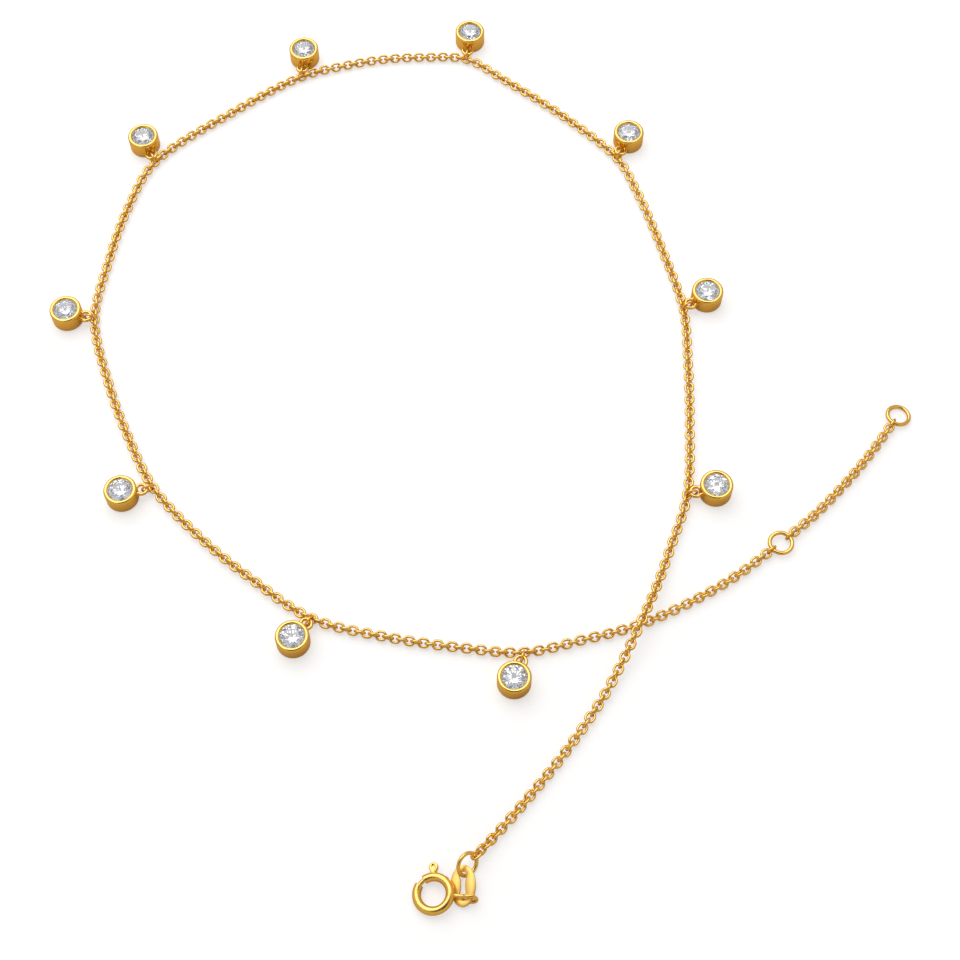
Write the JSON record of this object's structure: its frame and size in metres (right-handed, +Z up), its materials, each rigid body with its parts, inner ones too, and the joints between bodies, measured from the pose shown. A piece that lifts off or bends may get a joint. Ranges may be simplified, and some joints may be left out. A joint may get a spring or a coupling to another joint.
{
  "type": "diamond necklace",
  "caption": "Fine gold cable chain laid in an open loop, with small bezel-set round diamonds on links, a spring-ring clasp with its tag and an extension chain.",
  "frame": {"origin": "centre of the whole laid-out necklace, on the surface that it lies on", "axes": "+Z up from that surface, +Y along the loop's longest extent from the clasp to the top of the loop, +X towards the extension chain"},
  "size_m": [0.1261, 0.1444, 0.003],
  "materials": {
    "gold": "polished",
    "diamond": "polished"
  },
  "bodies": {
    "necklace": {"chain_clasp_side": "gold", "chain_tail_side": "gold", "extension_chain": "gold", "bezel_01": "gold", "bezel_02": "gold", "bezel_03": "gold", "bezel_04": "gold", "bezel_05": "gold", "bezel_06": "gold", "bezel_07": "gold", "bezel_08": "gold", "bezel_09": "gold", "bezel_10": "gold", "stone_01": "diamond", "stone_02": "diamond", "stone_03": "diamond", "stone_04": "diamond", "stone_05": "diamond", "stone_06": "diamond", "stone_07": "diamond", "stone_08": "diamond", "stone_09": "diamond", "stone_10": "diamond", "drop_link_01": "gold", "drop_link_02": "gold", "drop_link_03": "gold", "drop_link_04": "gold", "drop_link_05": "gold", "drop_link_06": "gold", "drop_link_07": "gold", "drop_link_08": "gold", "drop_link_09": "gold", "drop_link_10": "gold", "clasp_ring": "gold", "clasp_tag": "gold", "tag_jump_ring": "gold", "adjuster_ring": "gold", "end_ring": "gold"},
    "trigger": {"clasp_trigger": "gold"}
  },
  "joints": [
    {"name": "trigger_slide_round", "type": "hinge", "parent": "necklace", "child": "trigger", "pos_m": [-0.0051, -0.06985, 0.00095], "axis": [0.1736, 0, -0.9848], "range_deg": [0, 28], "stiffness_Nm_per_rad": 0.002, "springref_deg": -11.46}
  ]
}
